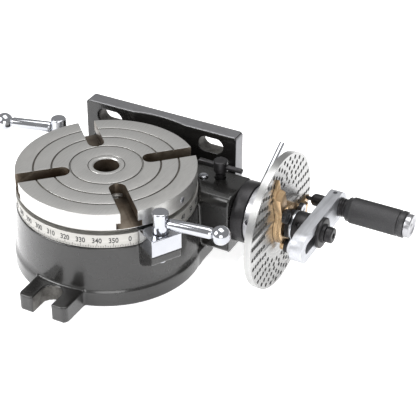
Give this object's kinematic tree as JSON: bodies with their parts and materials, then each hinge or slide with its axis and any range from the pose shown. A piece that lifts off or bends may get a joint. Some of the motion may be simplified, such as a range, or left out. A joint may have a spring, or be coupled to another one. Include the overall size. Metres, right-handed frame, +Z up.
{
  "type": "rotary indexing table with worm gear drive",
  "caption": "Round T-slotted table on a cast base, turned by a worm and wheel, with dividing plate, sector arms, crank and index plunger; stands flat or upright.",
  "frame": {"origin": "on the table's axis, on the plane of the base's underside", "axes": "+Z up along the table's axis, +X along the worm shaft towards the crank, +Y towards the vertical mounting plate"},
  "size_m": [0.3659, 0.2207, 0.118],
  "materials": {
    "black_paint": "gloss",
    "ground_steel": "ground",
    "satin_steel": "satin",
    "chrome": "polished",
    "black_oxide": "black oxide",
    "brass": "satin",
    "bronze": "machined"
  },
  "bodies": {
    "base": {"base_casting": "black_paint", "bottom_cover": "satin_steel", "bottom_cover_screw_1": "black_oxide", "bottom_cover_screw_2": "black_oxide", "bottom_cover_screw_3": "black_oxide", "oil_plug": "chrome", "clamp_block_front": "chrome", "clamp_block_rear": "chrome"},
    "table": {"rotary_table": "ground_steel", "graduated_ring": "satin_steel", "centre_bush": "ground_steel", "worm_wheel": "bronze", "wheel_screw_1": "black_oxide", "wheel_screw_2": "black_oxide", "wheel_screw_3": "black_oxide", "wheel_screw_4": "black_oxide", "thrust_washer": "satin_steel", "spindle_nut": "black_oxide"},
    "sleeve": {"eccentric_sleeve": "satin_steel", "worm_collar": "black_oxide", "eccentric_lever": "chrome", "plate_hub": "satin_steel", "dividing_plate": "ground_steel", "plate_screw_1": "black_oxide", "plate_screw_2": "black_oxide", "plate_screw_3": "black_oxide", "sector_spring": "black_oxide", "sector_retaining_ring": "chrome", "front_worm_bush": "bronze", "rear_worm_bush": "bronze"},
    "worm": {"worm_shaft": "satin_steel", "crank_hub": "black_oxide", "crank_washer": "black_oxide", "crank_cap_screw": "black_oxide"},
    "crank": {"crank_arm": "satin_steel", "plunger_guide": "black_oxide", "plunger_spring": "satin_steel"},
    "plunger": {"index_pin": "black_oxide", "knurled_grip": "black_oxide", "grip_end_cap": "satin_steel"},
    "sector_a": {"sector_arm_a": "brass"},
    "sector_b": {"sector_arm_b": "brass", "sector_screw_1": "chrome", "sector_screw_2": "chrome", "sector_screw_3": "chrome"},
    "clamp_front": {"clamp_post_front": "chrome", "clamp_lever_front": "chrome"},
    "clamp_rear": {"clamp_post_rear": "chrome", "clamp_lever_rear": "chrome"},
    "lock_screw": {"worm_lock_screw": "black_oxide"},
    "lock_bar": {"tommy_bar": "black_oxide"}
  },
  "joints": [
    {"name": "crank_spin", "type": "hinge", "parent": "sleeve", "child": "worm", "pos_m": [0.145, 0.054, 0.041], "axis": [1, 0, 0], "continuous": true},
    {"name": "table_spin", "type": "hinge", "parent": "base", "child": "table", "pos_m": [0, 0, 0.06], "axis": [0, 0, 1], "continuous": true},
    {"name": "worm_release", "type": "hinge", "parent": "base", "child": "sleeve", "pos_m": [0.1, 0.05588, 0.04168], "axis": [1, 0, 0], "range_deg": [0, 70]},
    {"name": "crank_radius", "type": "slide", "parent": "worm", "child": "crank", "axis": [0, 0.9999, 0.014], "range_m": [-0.01, 0.013]},
    {"name": "index_plunger", "type": "slide", "parent": "crank", "child": "plunger", "axis": [1, 0, 0], "range_m": [0, 0.008], "stiffness_N_per_m": 600, "springref_m": -0.005},
    {"name": "sector_a_turn", "type": "hinge", "parent": "sleeve", "child": "sector_a", "pos_m": [0.1372, 0.054, 0.041], "axis": [1, 0, 0], "range_deg": [-40, 90]},
    {"name": "sector_b_turn", "type": "hinge", "parent": "sleeve", "child": "sector_b", "pos_m": [0.1408, 0.054, 0.041], "axis": [1, 0, 0], "range_deg": [-90, 40]},
    {"name": "clamp_front_turn", "type": "hinge", "parent": "base", "child": "clamp_front", "pos_m": [0.07534, -0.0435, 0.0785], "axis": [0, 0, 1], "range_deg": [-70, 20]},
    {"name": "clamp_rear_turn", "type": "hinge", "parent": "base", "child": "clamp_rear", "pos_m": [-0.07534, 0.0435, 0.0785], "axis": [0, 0, 1], "range_deg": [-70, 20]},
    {"name": "lock_screw_turn", "type": "hinge", "parent": "base", "child": "lock_screw", "pos_m": [0.077, 0.056, 0.077], "axis": [0, 0, 1], "range_deg": [-90, 10]},
    {"name": "lock_bar_slide", "type": "slide", "parent": "lock_screw", "child": "lock_bar", "axis": [1, 0, 0], "range_m": [-0.002, 0.012]}
  ],
  "couplings": [
    {"joint": "table_spin", "follows": "crank_spin", "ratio": 0.011111}
  ]
}
